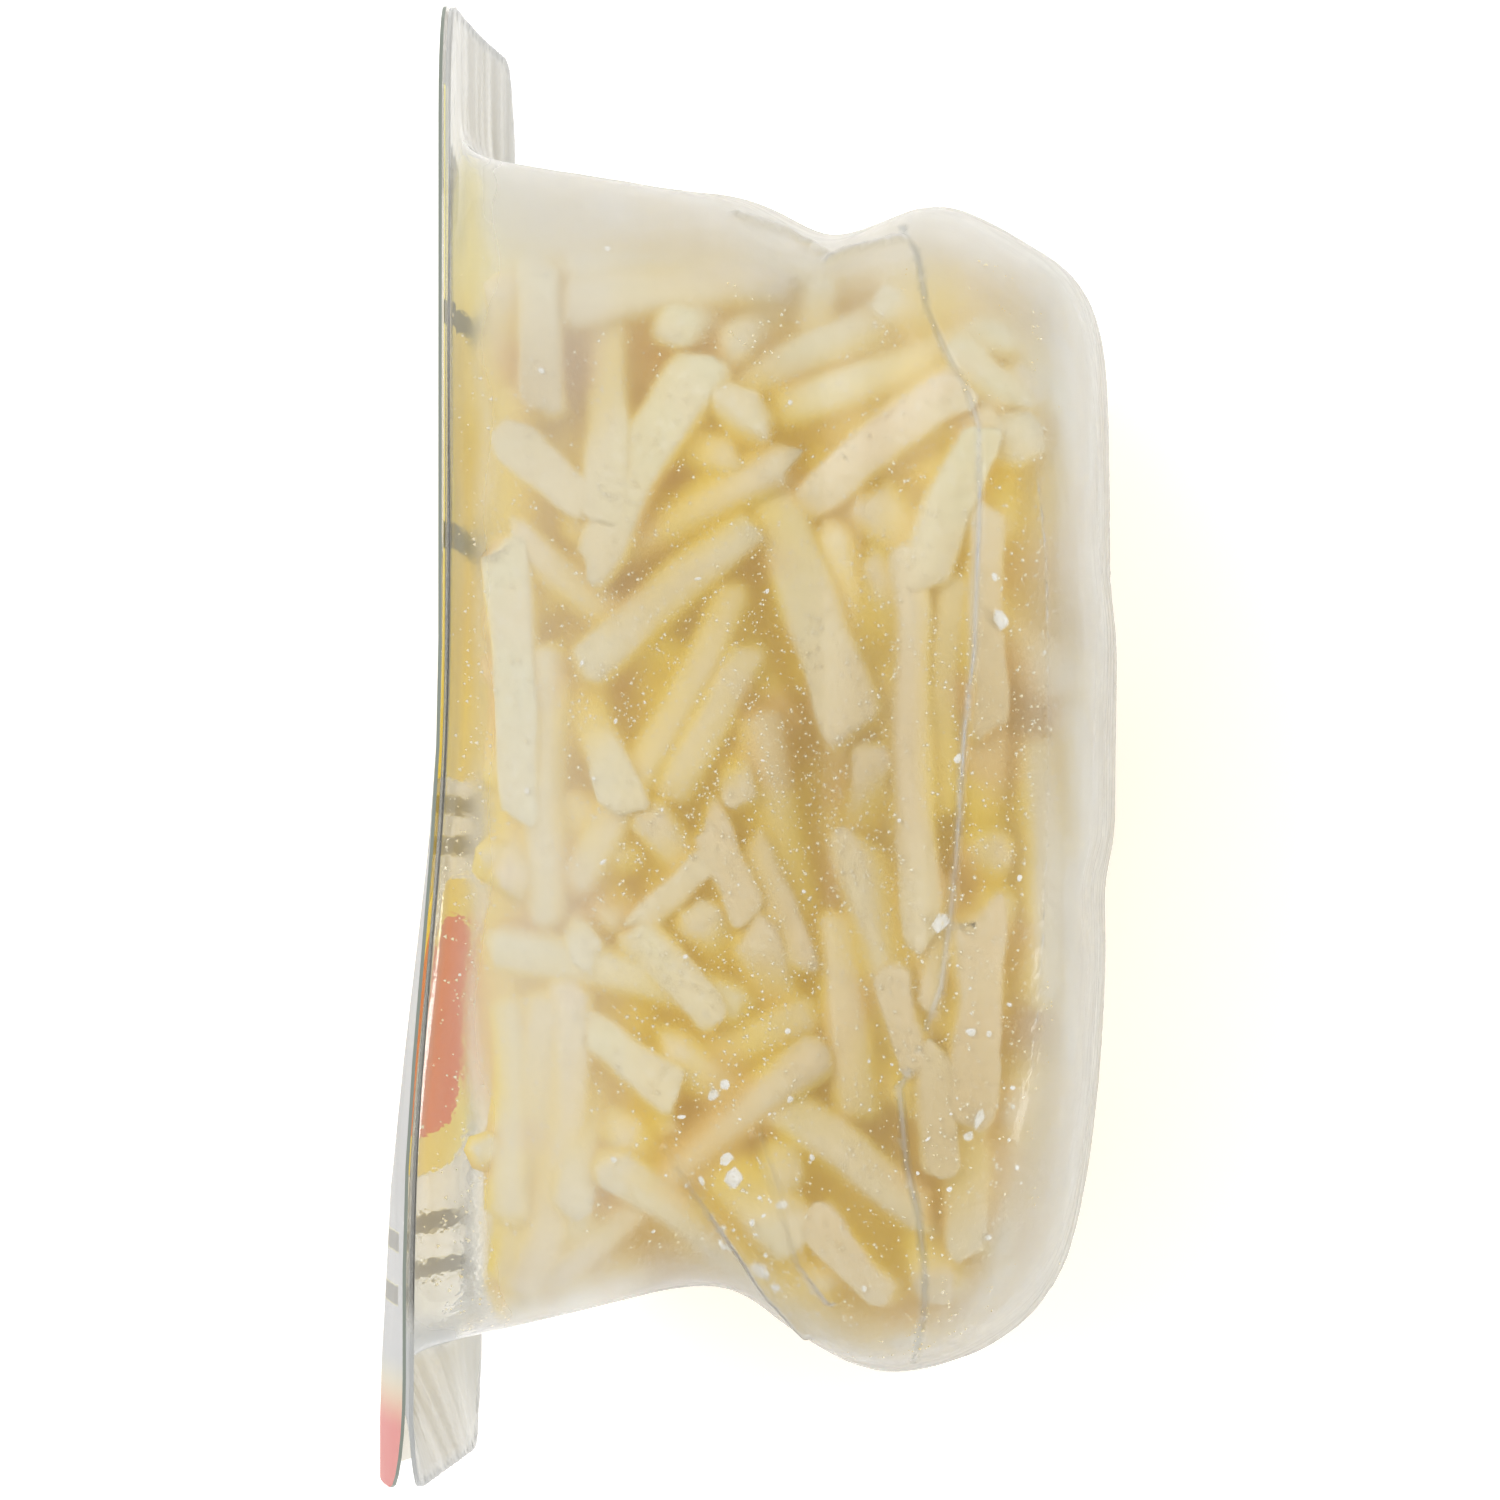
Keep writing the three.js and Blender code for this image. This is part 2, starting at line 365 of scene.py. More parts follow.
haze_mark = film.verts.layers.float.new("haze")
frost_mark = film.verts.layers.float.new("frost")
fold_shade_mark = film.verts.layers.float.new("fold_shade")
for index, vert in enumerate(film.verts):
    place = vert.co.copy()
    facing = vert.normal
    streak = waves(place, WAVES_PER_METRE)
    ripple = waves(place, RIPPLES_PER_METRE, shift=7)
    waved = ramp(place.x, RIM_BACK, RIM_BACK + WAVED_AFTER)
    lift = (streak * WAVE_PART + ripple * RIPPLE_PART) * WAVE_HEIGHT * waved
    groove = bell(chill_far[index] - CHILL_APART, CHILL_WIDTH)
    lift -= CHILL_DEPTH * groove
    ridge = max(bell(far[index], CREASE_WIDTH) for far in crease_far)
    lift += CREASE_HEIGHT * ridge
    dotted = DOT_MEAN + DOT_SWING * math.sin(place.y * math.tau / DOT_PITCH)
    dots = bell(base_far[index], BASE_EDGE_WIDTH) * dotted
    lift += CHILL_DEPTH * dots
    based = ramp(facing.x, *BASE_FACING)
    lift += BASE_STREAK * based * waves(place, STREAKS_PER_METRE)
    vert.co = place + facing * lift

    rim = (1 - ramp(place.x, RIM_BACK - RIM_DEEP, RIM_BACK)) * ramp(abs(place.y), *RIM_ENDS)
    ends = ramp(abs(place.y - CHILL_MIDDLE), *CHILL_ENDS)
    # Painted shade: a darker grey tint in the chill groove, most at its ends, on the creases and base dots,
    # at the rim and on the side facing the base.
    vert[fold_shade_mark] = max(groove * (TINT["chill"] + TINT["chill_ends"] * ends), ridge * TINT["crease"],
                          dots * TINT["dots"], rim * TINT["rim"], based * TINT["base"])
    from_lid = place.x + (streak + ripple) * FROST_UNEVEN
    vert[frost_mark] = NEAR_CLEAR + (FROSTED - NEAR_CLEAR) * ramp(from_lid, *FROST_STARTS)
    by_lid = ramp(-from_lid, *BY_LID_FADES) * ramp(from_lid, *BY_LID_STARTS)
    by_lid *= HAZE["by_lid"] + HAZE["by_lid_low"] * ramp(-place.y, *BY_LID_LOW)
    headspace = ramp(place.y, *HEADSPACE_FROM) * ramp(place.x, *HEADSPACE_RIM)
    vert[haze_mark] = (HAZE["all"] + by_lid + HAZE["base"] * based + HAZE["headspace"] * headspace
                       + HAZE["upper_part"] * ramp(place.y, *UPPER_PART) + HAZE["rim"] * rim
                       + HAZE["chill"] * bell(chill_far[index], CHILL_PALE))

film_piece = new_piece("pouch_film", film, film_material())
wall = film_piece.modifiers.new("film thickness", "SOLIDIFY")
wall.thickness = FILM_THICKNESS
wall.offset = -1
lets_light_in(film_piece)
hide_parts("filled_pouch")

# --------------------------------------------------------------------------------------------------
# Cheese sticks: hard cheese cut by a machine into square sticks of 4 to 5 mm, which break off at
# uneven lengths. They lie loose, and those against the film are placed as the photo shows them.
# --------------------------------------------------------------------------------------------------
STICK_HALF = 2.25 * MM
PIXEL_MM = 0.087
# Each stick's two ends and its width are in pixels of the photo. The last value is how far under
# the film it lies, in sticks.
SEEN_STICKS = {
    "upright_by_the_lid": ((608, 262), (606, 505), 48, 0.2),
    "leaning_at_the_top": ((705, 372), (603, 552), 56, 0.0),
    "end_on_at_the_top": ((748, 405), (752, 412), 54, 0.0),
    "pale_left": ((520, 440), (577, 495), 45, 0.2),
    "long_left": ((530, 530), (628, 800), 55, 0.5),
    "middle_left_long": ((620, 620), (725, 825), 49, 0.4),
    "middle_left_short": ((702, 635), (768, 820), 40, 1.0),
    "centre_stout": ((780, 475), (838, 712), 62, 0.0),
    "centre_behind": ((716, 530), (795, 715), 45, 0.6),
    "slanting_top_right": ((968, 378), (825, 487), 50, 0.2),
    "slanting_lower_right": ((937, 450), (847, 590), 50, 1.0),
    "rounded_right": ((985, 440), (926, 558), 50, 0.3),
    "long_upright": ((898, 560), (910, 929), 40, 0.1),
    "top_upright": ((757, 265), (757, 340), 24, 0.6),
    "bright_corner": ((985, 350), (1038, 380), 52, 0.2),
    "pale_corner": ((870, 330), (915, 362), 50, 0.8),
    "upright_lower": ((856, 753), (845, 855), 42, 0.2),
    "round_topped": ((847, 858), (905, 1050), 55, 0.0),
    "stub_on_it": ((883, 980), (910, 1055), 38, 0.0),
    "short_left": ((712, 835), (743, 905), 50, 0.0),
    "ragged_piece": ((650, 912), (705, 860), 35, 0.3),
    "short_middle": ((773, 862), (805, 950), 52, 0.2),
    "stout_middle": ((775, 930), (800, 1028), 60, 0.7),
    "low_left_short": ((645, 940), (707, 1015), 45, 0.2),
    "end_on_left": ((583, 943), (588, 950), 36, 0.2),
    "left_middle": ((573, 845), (618, 915), 50, 0.8),
    "pale_greenish": ((578, 808), (500, 925), 50, 0.4),
    "left_low": ((600, 1040), (665, 1090), 50, 0.2),
    "left_lower": ((600, 1125), (665, 1125), 42, 0.7),
    "long_slanting": ((690, 1010), (860, 1200), 58, 0.4),
    "long_slanting_right": ((780, 1100), (895, 1215), 60, 0.1),
    "curved_small": ((850, 1060), (890, 1105), 42, 0.5),
    "low_upright": ((595, 1135), (589, 1255), 40, 0.4),
    "thin_sliver": ((937, 885), (925, 1000), 22, 0.2),
    "thin_sliver_right": ((965, 895), (960, 970), 20, 0.6),
    "right_upright": ((1000, 925), (985, 1110), 50, 0.1),
    "right_low": ((928, 1070), (935, 1165), 40, 0.3),
    "right_lowest": ((970, 1130), (975, 1210), 36, 0.6),
    "between_the_creases": ((690, 1150), (775, 1270), 60, 0.5),
    "pale_band": ((950, 590), (952, 800), 40, 0.5),
    "pale_band_right": ((1002, 530), (1002, 714), 46, 0.2),
    "band_lower": ((1005, 730), (1003, 840), 44, 0.5),
    "corner_upright": ((1030, 400), (1035, 520), 50, 0.5),
    "top_left_row": ((545, 262), (548, 400), 44, 0.3),
    "top_right_row": ((815, 262), (812, 350), 40, 0.3),
    "top_far_row": ((870, 262), (930, 320), 46, 0.5),
    "beside_the_lid": ((508, 560), (520, 800), 46, 0.4),
    "low_beside_the_lid": ((530, 985), (548, 1200), 48, 0.4),
    "low_right_row": ((900, 1225), (960, 1310), 46, 0.4),
    "lowest_row": ((820, 1240), (880, 1320), 46, 0.2),
    "base_low": ((1010, 1140), (1015, 1270), 46, 0.6),
    "low_middle": ((640, 1190), (655, 1270), 44, 0.8),
}

# How deep each point of a coarse grid lies in the pouch, so that sticks can be kept off the film.
GRID_STEP = 2.5 * MM
low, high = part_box("filled_pouch")
grid_low = np.array(low) - 2 * GRID_STEP
grid_high = np.array(high) + 2 * GRID_STEP
grid_count = np.ceil((grid_high - grid_low) / GRID_STEP).astype(int) + 1
depth_grid = np.zeros(grid_count)
PROBE = Vector((1.0, 0.013, 0.007)).normalized()
PAST_A_FACE = 0.001


def is_outside(spot):
    """True where a line from the spot meets the closed pouch an even number of times."""
    crossings = 0
    hit = pouch_tree.ray_cast(spot, PROBE)[0]
    while hit is not None:
        crossings += 1
        hit = pouch_tree.ray_cast(hit + PROBE * PAST_A_FACE * MM, PROBE)[0]
    return crossings % 2 == 0


for cell in np.ndindex(*grid_count):
    spot = Vector(grid_low + np.array(cell) * GRID_STEP)
    distance = pouch_tree.find_nearest(spot)[3]
    depth_grid[cell] = distance if is_outside(spot) else -distance


def beyond_film(points):
    """How far points lie outside the pouch, negative inside it, and the way out at each."""
    grid = np.clip((points - grid_low) / GRID_STEP, 0, grid_count - 1.001)
    low = grid.astype(int)
    share = grid - low
    total = 0
    slope = np.zeros_like(points)
    for corner in np.ndindex(2, 2, 2):
        value = depth_grid[tuple((low + corner).T)]
        parts = np.where(corner, share, 1 - share)
        total = total + value * parts.prod(axis=1)
        for axis in range(3):
            others = np.delete(parts, axis, axis=1).prod(axis=1)
            slope[:, axis] += value * others * (1 if corner[axis] else -1)
    length = np.linalg.norm(slope, axis=1, keepdims=True)
    return total, slope / np.maximum(length, 1e-9)


# The loose sticks: how many there are, their sizes, and the layer under the film that they fill.
# The vector noise would start from the clock, so it is given a seed.
HEAP_SEED, BUMP_SEED = 7, 3
rng = np.random.default_rng(HEAP_SEED)
noise.seed_set(BUMP_SEED)
LOOSE_STICKS = 400
TRIALS = 400
LENGTHS = (15 * MM, 36 * MM)
THICKNESSES = (0.85, 1.12)
WAYS = (0.8, 1.5, 0.8)
LIES_FLAT = 0.9
SHELL = 10 * MM
SHELL_TOP = -3 * MM
SEEN_GAP = 0.25
SEEN_LAYER = 1.3 * MM
LID_CLEAR = -21.5 * MM
HEAP_TOP = 43 * MM

seen_ends = []
seen_half = []
for start, end, width, depth in SEEN_STICKS.values():
    half = width * 0.5 * PIXEL_MM * MM
    for px, py in (start, end):
        place, outward = on_film(px, py)
        below = half + FILM_THICKNESS + (depth + SEEN_GAP) * 2 * STICK_HALF
        seen_ends.append(np.array(place - outward * below))
    seen_half.append(half)
seen_ends = np.array(seen_ends).reshape(-1, 2, 3)
seen_half = np.array(seen_half)

loose_middle = np.zeros((0, 3))
while len(loose_middle) < LOOSE_STICKS:
    trial = rng.uniform(low, high, size=(TRIALS, 3))
    outside, _ = beyond_film(trial)
    good = (outside < SHELL_TOP) & (outside > -SHELL) & (trial[:, 1] < HEAP_TOP)
    loose_middle = np.vstack([loose_middle, trial[good]])
loose_middle = loose_middle[:LOOSE_STICKS]
_, facing = beyond_film(loose_middle)
loose_way = rng.normal(size=(LOOSE_STICKS, 3)) * WAYS
loose_way -= facing * (loose_way * facing).sum(1, keepdims=True) * LIES_FLAT
loose_way /= np.linalg.norm(loose_way, axis=1, keepdims=True)
loose_length = rng.uniform(*LENGTHS, LOOSE_STICKS)
loose_half = rng.uniform(*THICKNESSES, LOOSE_STICKS) * STICK_HALF

# The seen sticks come first, then the loose ones. reach is from a stick's middle to its end's
# centre, and held marks the seen sticks, which may only rise or sink.
SHORTEST = 0.5 * MM
middle = np.vstack([seen_ends.mean(axis=1), loose_middle])
span = np.vstack([seen_ends[:, 1] - seen_ends[:, 0],
                  loose_way * (loose_length - 2 * loose_half)[:, None]])
reach = np.maximum(np.linalg.norm(span, axis=1) / 2, SHORTEST)
way = span / (2 * reach)[:, None]
half = np.concatenate([seen_half, loose_half])
held = np.arange(len(half)) < len(seen_half)
wanted_height = middle[:, 2].copy()


def nearest_shares(a, b):
    """Where along sticks a and b, as metres from their middles, each is nearest to the other."""
    apart = middle[a] - middle[b]
    turn = (way[a] * way[b]).sum(1)
    on_a = (way[a] * apart).sum(1)
    on_b = (way[b] * apart).sum(1)
    skew = np.maximum(1 - turn ** 2, 1e-6)
    s = np.clip((turn * on_b - on_a) / skew, -reach[a], reach[a])
    t = np.clip(turn * s + on_b, -reach[b], reach[b])
    s = np.clip(turn * t - on_a, -reach[a], reach[a])
    return s, t


# Settling: how often the near pairs are listed anew, how far apart they may be, and how hard the
# film, the inside of the layer and the shown sticks' wish to rise move a stick in one round.
ROUNDS = 260
LISTED_EVERY = 8
LISTED_ROOM = 4 * MM
TURNING = 3
FILM_PUSH = 2
SHELL_PUSH = 0.7
STEADY = 1.5
TRIED_ALONG = (-1, -0.4, 0.4, 1)
FACES_UP, UP_FROM = 2, 0.4
RISE = 0.1 * MM


def settle(rounds):
    """Moves the sticks apart, off the film and out of the head of the pack, in small steps.

    A push at a rod's end turns it, which TURNING counts as three times its push at the middle.
    """
    global middle, way
    for turn in range(rounds):
        if turn % LISTED_EVERY == 0:
            first, second = np.triu_indices(len(half), 1)
            room = reach[first] + reach[second] + half[first] + half[second] + LISTED_ROOM
            near = np.linalg.norm(middle[first] - middle[second], axis=1) < room
            first, second = first[near], second[near]
        move = np.zeros_like(middle)
        spin = np.zeros_like(way)
        count = np.zeros(len(half))
        s, t = nearest_shares(first, second)
        apart = middle[first] + way[first] * s[:, None] - middle[second] - way[second] * t[:, None]
        distance = np.maximum(np.linalg.norm(apart, axis=1), 1e-7)
        overlap = half[first] + half[second] - distance
        hit = overlap > 0
        a, b, s, t = first[hit], second[hit], s[hit], t[hit]
        push = apart[hit] / distance[hit][:, None]
        weight_a = 1 + TURNING * (s / reach[a]) ** 2
        weight_b = 1 + TURNING * (t / reach[b]) ** 2
        size = overlap[hit] / (weight_a + weight_b)
        np.add.at(move, a, push * size[:, None])
        np.add.at(move, b, -push * size[:, None])
        np.add.at(spin, a, push * (TURNING * s / reach[a] ** 2 * size)[:, None])
        np.add.at(spin, b, -push * (TURNING * t / reach[b] ** 2 * size)[:, None])
        np.add.at(count, a, 1)
        np.add.at(count, b, 1)
        for share in TRIED_ALONG:
            tip = middle + way * (reach * share)[:, None]
            outside, out_way = beyond_film(tip)
            top_share = np.clip(out_way[:, 2] * FACES_UP - UP_FROM, 0, 1)
            spare = np.where(held, 0, SEEN_LAYER * top_share)
            deep = np.maximum(outside + half + FILM_THICKNESS + spare, 0)
            size = deep / (1 + TURNING * share ** 2)
            move -= out_way * (size * FILM_PUSH)[:, None]
            spin -= out_way * (TURNING * share / reach * size * FILM_PUSH)[:, None]
            count += deep > 0
            sunk = np.maximum(-SHELL - outside, 0) * (~held)
            move += out_way * (sunk * SHELL_PUSH)[:, None]
            high = np.maximum(tip[:, 1] + half - HEAP_TOP, 0) * (~held)
            move[:, 1] -= high
            spin[:, 1] -= TURNING * share / reach * high
            close = np.maximum(LID_CLEAR - tip[:, 0] + half, 0) * (~held)
            move[:, 0] += close
            spin[:, 0] += TURNING * share / reach * close
        scale = STEADY / np.maximum(count, STEADY)
        move *= scale[:, None]
        spin *= scale[:, None]
        lift = np.clip(wanted_height - middle[:, 2], 0, RISE)
        move[held, 2] += lift[held]
        move[held, :2] = 0
        spin[held, :2] = 0
        middle = middle + move
        turned = way + spin - way * (way * spin).sum(1, keepdims=True)
        way = turned / np.linalg.norm(turned, axis=1, keepdims=True)


settle(ROUNDS)
KEPT_BELOW = -0.75
tips = np.stack([middle + way * (reach * share)[:, None] for share in (-1, 0, 1)])
tip_out = np.max([beyond_film(tip)[0] for tip in tips], axis=0)
kept = ~held & (tip_out < KEPT_BELOW * half)

FORM_LONG = 5.0
FORM_END = 0.6
FORM_CORNER = 0.5


def stick_form(cuts, corner_cuts):
    """One stick, 2 wide and twice FORM_LONG long, with rounded corners, as a mesh to copy."""
    bm = bmesh.new()
    bmesh.ops.create_cube(bm, size=2.0)
    bmesh.ops.scale(bm, vec=(1, 1, FORM_LONG), verts=bm.verts)
    bmesh.ops.bevel(bm, geom=bm.edges[:], offset=FORM_CORNER, segments=corner_cuts, profile=0.5,
                    affect="EDGES", material=-1)
    long_edges = [e for e in bm.edges if abs(e.verts[0].co.z - e.verts[1].co.z) > FORM_LONG]
    bmesh.ops.subdivide_edges(bm, edges=long_edges, cuts=cuts, use_grid_fill=True)
    form = bpy.data.meshes.new("stick_form")
    bm.to_mesh(form)
    bm.free()
    return form


# One stick: how much it is turned, bent, slanted at its ends, chipped, thinned and roughened, as
# ranges or spreads for its own random draws. Widths are in halves of its thickness.
ROLL = 0.3
WIDE, DEEP = (0.95, 1.06), (0.84, 0.98)
END_ROUND = 0.9
BEND_MM, BEND_UP_MM = 0.55, 0.3
BEND_LENGTH = 12 * MM
END_SLANTS = (0.4, 0.3)
END_CHIP = 0.45
SLIM = (0.8, 1.08)
TORN, TORN_WAVES = 0.35, 1.7
SEED_SPAN = 99
BROAD_BUMPS, BROAD_PER_METRE = 0.9, 150
FINE_BUMPS, FINE_PER_METRE = 0.25, 600
UPRIGHT = 0.8


def add_stick(bm, form, number, roughness):
    """Copies the form into bm as one stick of the heap, bent, roughened and kept off the film."""
    draw = random.Random(number)
    before = len(bm.verts)
    bm.from_mesh(form)
    bm.verts.ensure_lookup_table()
    along = Vector(way[number])
    apart = Vector((0, 0, 1)) if abs(along.z) < UPRIGHT else Vector((1, 0, 0))
    side = along.cross(apart).normalized()
    other = along.cross(side)
    roll = draw.gauss(0, ROLL)
    across = side * math.cos(roll) + other * math.sin(roll)
    up = along.cross(across)
    wide = half[number] * draw.uniform(*WIDE)
    deep = half[number] * draw.uniform(*DEEP)
    long = reach[number] + half[number] * END_ROUND
    slender = long / BEND_LENGTH
    bend = draw.gauss(0, BEND_MM) * MM * slender ** 2
    bend_up = draw.gauss(0, BEND_UP_MM) * MM * slender ** 2
    slants = [(draw.gauss(0, END_SLANTS[0]), draw.gauss(0, END_SLANTS[1])) for _ in range(2)]
    chips = [draw.uniform(0.0, END_CHIP) for _ in range(2)]
    slim = [draw.uniform(*SLIM) for _ in range(2)]
    seed = Vector([draw.uniform(0, SEED_SPAN) for _ in range(3)])
    tone = draw.random()
    for vert in bm.verts[before:]:
        vert[bm.verts.layers.float["tone"]] = tone
        u, v, w = vert.co
        near_end = max(0, abs(w) - FORM_LONG + FORM_END) / FORM_END
        if near_end > 0:
            run = math.copysign(long - half[number] * (FORM_LONG - abs(w)), w)
        else:
            run = w / (FORM_LONG - FORM_END) * (long - half[number] * FORM_END)
        slant = slants[w > 0]
        far_along = (w / FORM_LONG + 1) / 2
        taper = (1 - chips[w > 0] * near_end) * (slim[0] + (slim[1] - slim[0]) * far_along)
        arch = 1 - (run / long) ** 2
        torn = noise.noise(Vector((u * TORN_WAVES, v * TORN_WAVES, w)) + seed) * TORN
        run += half[number] * (u * slant[0] + v * slant[1] + torn) * near_end
        place = Vector(middle[number]) + along * run
        place += across * (wide * u * taper + bend * arch)
        place += up * (deep * v * taper + bend_up * arch)
        bumpy = noise.noise_vector(place * BROAD_PER_METRE + seed) * BROAD_BUMPS
        bumpy += noise.noise_vector(place * FINE_PER_METRE + seed) * FINE_BUMPS
        vert.co = place + bumpy * roughness


# Colour by place. Painted shade and bounced light between the sticks: the cheese is painted a deeper gold,
# with a faint painted glow, the further it lies under the film and on the sides of the sticks, and less so
# near the top of the heap. A few listed places are darker, each with its middle, its size and its strength.
FILM_CLEAR = 0.5 * MM
GLOW_DEPTH = 9 * MM
SIDE_GLOW = 0.34
SIDES_BELOW = 0.5
TOP_PALE, TOP_PALER = 28 * MM, 0.6
# Listed places where the cheese is drawn darker and browner, with less painted glow.
DARKER_PATCHES = {
    "right_of_the_middle": ((19, 2), 16, 0.85), "low_right": ((18, -33), 14, 0.8),
    "left_of_the_middle": ((-6, 14), 9, 0.45), "middle": ((2, -10), 12, 0.3),
    "top_left": ((-17, 32), 6, 0.7),
}


def keep_inside(bm):
    """Presses flat what would touch the film, and marks painted gap shade and glow, and darker patches."""
    points = np.array([v.co for v in bm.verts])
    for _ in range(2):
        outside, out_way = beyond_film(points)
        points -= out_way * np.maximum(outside + FILM_THICKNESS + FILM_CLEAR, 0)[:, None]
    outside, out_way = beyond_film(points)
    for vert, point in zip(bm.verts, points):
        vert.co = point
    bm.normal_update()
    sides = 1 - np.clip((np.array([v.normal for v in bm.verts]) * out_way).sum(axis=1), 0, 1)
    sides *= np.clip(-outside / MM - SIDES_BELOW, 0, 1)
    sunlit = 1 - TOP_PALER * np.clip((points[:, 1] - TOP_PALE) / (HEAP_TOP - TOP_PALE), 0, 1)
    # Painted shade and glow: more the deeper under the film and on the sides, less towards the top of the
    # heap.
    golden = np.clip((-outside / GLOW_DEPTH + SIDE_GLOW * sides) * sunlit, 0, 1)
    darker_patch = np.zeros(len(points))
    for (x, y), size, strength in DARKER_PATCHES.values():
        apart = np.linalg.norm(points[:, :2] - np.array((x, y)) * MM, axis=1)
        darker_patch += strength * np.exp(-(apart / (size * MM)) ** 2)
    gap_light_mark = bm.verts.layers.float.new("painted_gap_light")
    darker_patch_mark = bm.verts.layers.float.new("darker_patch")
    for index, vert in enumerate(bm.verts):
        vert[gap_light_mark] = golden[index]
        vert[darker_patch_mark] = darker_patch[index]


WARM_CHEESE, PALE_CHEESE = (0.87, 0.70, 0.44), (0.84, 0.78, 0.50)
MOTTLED_CHEESE, WHITE_GRAIN = (0.84, 0.70, 0.40), (0.92, 0.88, 0.72)
DARKER_PATCH_CHEESE = (0.66, 0.49, 0.22)
# Painted gap shade colours, and the painted glow, for cheese between and under the sticks.
PAINTED_GAP_GOLD, PAINTED_GAP_BROWN = (0.71, 0.53, 0.06), (0.62, 0.40, 0.13)
PAINTED_LIGHT_THROUGH = (0.182, 0.128, 0.007)
NO_LIGHT = (0.0, 0.0, 0.0)


def cheese_material(name):
    """Cheese in a tone of its own for each stick, with painted gap shade and a faint painted glow."""
    start, finish = new_material(name)
    place = start.add("TexCoord", out=3)
    deep = start.add("Attribute", out=2, settings={"attribute_name": "painted_gap_light"})
    stick = start.add("Attribute", out=2, settings={"attribute_name": "tone"})
    darker_patch = start.add("Attribute", out=2, settings={"attribute_name": "darker_patch"})
    broad = start.add("TexNoise", Vector=place, Scale=110.0, Detail=1.0)
    grain = start.add("TexNoise", Vector=place, Scale=1200.0, Detail=1.0)
    mottle = start.add("TexNoise", Vector=place, Scale=420.0, Detail=3.0, Roughness=0.7)
    tone = (stick * 0.6 + broad.step(0.3, 0.7) * 0.4).blend(WARM_CHEESE, PALE_CHEESE)
    tone = (mottle.step(0.4, 0.7) * 0.35).blend(tone, MOTTLED_CHEESE)
    tone = (grain.step(0.5, 0.72) * 0.3).blend(tone, WHITE_GRAIN)
    # Darker and browner in the listed patches.
    tone = darker_patch.blend(tone, DARKER_PATCH_CHEESE)
    # Painted gap shade and glow: the cheese turns a deeper gold and glows faintly by the depth mark.
    painted_gap_colours = broad.step(0.5, 0.68).blend(PAINTED_GAP_GOLD, PAINTED_GAP_BROWN)
    golden = deep.step(0.06, 0.55).blend(tone, painted_gap_colours)
    glow = (deep.step(0.0, 0.5) * (1 - darker_patch * 0.45)).blend(NO_LIGHT, PAINTED_LIGHT_THROUGH)
    return finish(start.add("BsdfPrincipled", Base_Color=golden, Roughness=0.5, Specular_IOR_Level=0.3,
                            Emission_Color=glow, Emission_Strength=1.0))


SEEN_ROUGHNESS = 0.75 * MM
LOOSE_ROUGHNESS = 0.65 * MM
fine_form = stick_form(11, 3)
plain_form = stick_form(4, 1)

seen_bm = bmesh.new()
seen_bm.verts.layers.float.new("tone")
for number in np.flatnonzero(held):
    add_stick(seen_bm, fine_form, int(number), SEEN_ROUGHNESS)
keep_inside(seen_bm)
seen_tree = BVHTree.FromBMesh(seen_bm)
seen_sticks = new_piece("sticks_by_the_film", seen_bm, cheese_material("hard_cheese_near"))
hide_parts("filled_pouch")

heap_bm = bmesh.new()
heap_bm.verts.layers.float.new("tone")
for number in np.flatnonzero(kept):
    add_stick(heap_bm, plain_form, int(number), LOOSE_ROUGHNESS)
keep_inside(heap_bm)
heap_tree = BVHTree.FromBMesh(heap_bm)
heap_sticks = new_piece("sticks_in_the_heap", heap_bm, cheese_material("hard_cheese_heap"))
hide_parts("filled_pouch")


# --------------------------------------------------------------------------------------------------
# Core of the heap: sticks too deep to be told apart, which are seen only as golden cheese between those in
# front. They are one uneven lump, blown up from a ball until it lies 9 mm under the film. Its deep gold is
# painted shade and bounced light from the gaps, and it has a faint painted glow.
# --------------------------------------------------------------------------------------------------
def core_material():
    start, finish = new_material("cheese_deep_in_the_heap")
    place = start.add("TexCoord", out=3)
    patches = start.add("TexNoise", Vector=place, Scale=70.0, Detail=1.0)
    # Painted shade and glow: deep gold, which also feeds a faint emission.
    colour = patches.step(0.35, 0.7).blend((0.74, 0.50, 0.04), (0.68, 0.42, 0.08))
    return finish(start.add("BsdfPrincipled", Base_Color=colour, Roughness=0.6, Emission_Color=colour,
                            Emission_Strength=0.2))


CORE_DEPTH = 9 * MM
CORE_MIDDLE = Vector((4, -4, 42)) * MM
CORE_BLOWS = 30
CORE_LUMPS, LUMPS_PER_METRE = 1.5, 160
core_bm = bmesh.new()
bmesh.ops.create_icosphere(core_bm, subdivisions=5, radius=1.0)
core_ways = np.array([v.co for v in core_bm.verts])
core_points = np.tile(np.array(CORE_MIDDLE), (len(core_ways), 1))
for _ in range(CORE_BLOWS):
    outside = beyond_film(core_points)[0]
    room = np.minimum(-outside - CORE_DEPTH, HEAP_TOP - CORE_DEPTH / 2 - core_points[:, 1])
    core_points += core_ways * np.maximum(room, 0)[:, None]
for vert, point in zip(core_bm.verts, core_points):
    spot = Vector(point)
    vert.co = spot + noise.noise_vector(spot * LUMPS_PER_METRE) * CORE_LUMPS * MM
core = new_piece("heap_core", core_bm, core_material())
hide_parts("filled_pouch")

